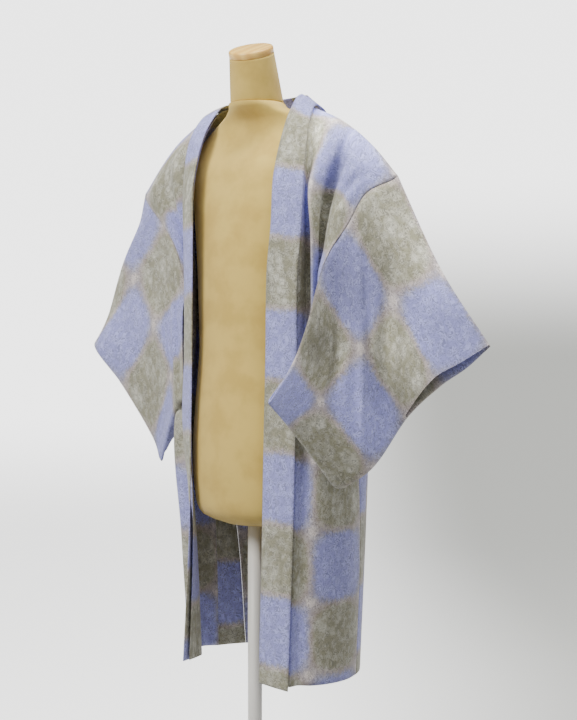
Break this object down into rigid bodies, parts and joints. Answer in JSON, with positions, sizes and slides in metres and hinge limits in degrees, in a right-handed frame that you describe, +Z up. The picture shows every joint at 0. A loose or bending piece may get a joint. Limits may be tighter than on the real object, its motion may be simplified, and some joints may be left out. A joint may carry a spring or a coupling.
{
  "type": "haori jacket on a limbless dress form",
  "caption": "Thigh-length open haori jacket with square hanging sleeves, standing on a limbless dress form with a round base.",
  "frame": {"origin": "on the floor, at the centre of the stand base's underside", "axes": "+Z up, -Y out of the garment's open front, +X towards the wearer's left"},
  "size_m": [0.9069, 0.4307, 1.4709],
  "materials": {
    "checked_silk": "matt, printed in blurred blue and grey checks",
    "collar_silk": "matt, printed in blurred blue and grey checks",
    "beige_jersey": "matt knit",
    "plain_beech": "satin",
    "painted_steel": "satin"
  },
  "bodies": {
    "root": {"body_left": "checked_silk", "body_right": "checked_silk", "gusset_left": "checked_silk", "gusset_right": "checked_silk", "sleeve_left": "checked_silk", "sleeve_right": "checked_silk", "collar_left": "collar_silk", "collar_right": "collar_silk", "form_torso": "beige_jersey", "form_neck": "beige_jersey", "form_cap": "plain_beech", "stand_pole": "painted_steel", "stand_base": "painted_steel"}
  },
  "joints": []
}
